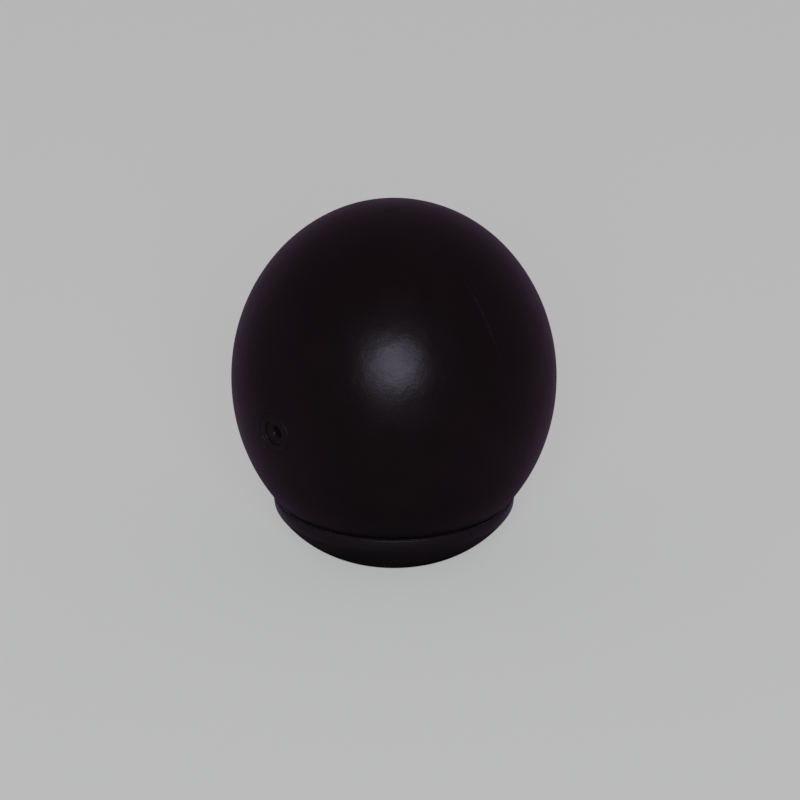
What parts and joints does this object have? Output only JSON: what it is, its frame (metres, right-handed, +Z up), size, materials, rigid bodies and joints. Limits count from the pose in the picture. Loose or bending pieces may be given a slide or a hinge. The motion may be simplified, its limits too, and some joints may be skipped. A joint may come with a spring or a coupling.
{
  "type": "case opening friction ball",
  "caption": "Palm-sized black rubber ball on a low rest ring, pressed and twisted on a screw-on watch back to open it by friction.",
  "frame": {"origin": "centre of the rest ring's foot, on the bench", "axes": "+Z up through the ball's centre; -Y straight ahead, towards the user; the needle valve faces between -X and -Y"},
  "size_m": [0.065, 0.065, 0.0727],
  "materials": {
    "grip_rubber": "satin, slightly tacky",
    "ring_rubber": "matt moulded",
    "bladder_rubber": "smooth",
    "valve_rubber": "smooth moulded"
  },
  "bodies": {
    "rest": {"rest_ring": "ring_rubber"},
    "ball": {"valve_half_cover": "grip_rubber", "plain_half_cover": "grip_rubber", "bladder": "bladder_rubber", "valve_housing": "valve_rubber", "valve_core": "valve_rubber"}
  },
  "joints": [
    {"name": "ball_lift", "type": "slide", "parent": "rest", "child": "ball", "axis": [0, 0, 1], "range_m": [0, 0.04]}
  ]
}
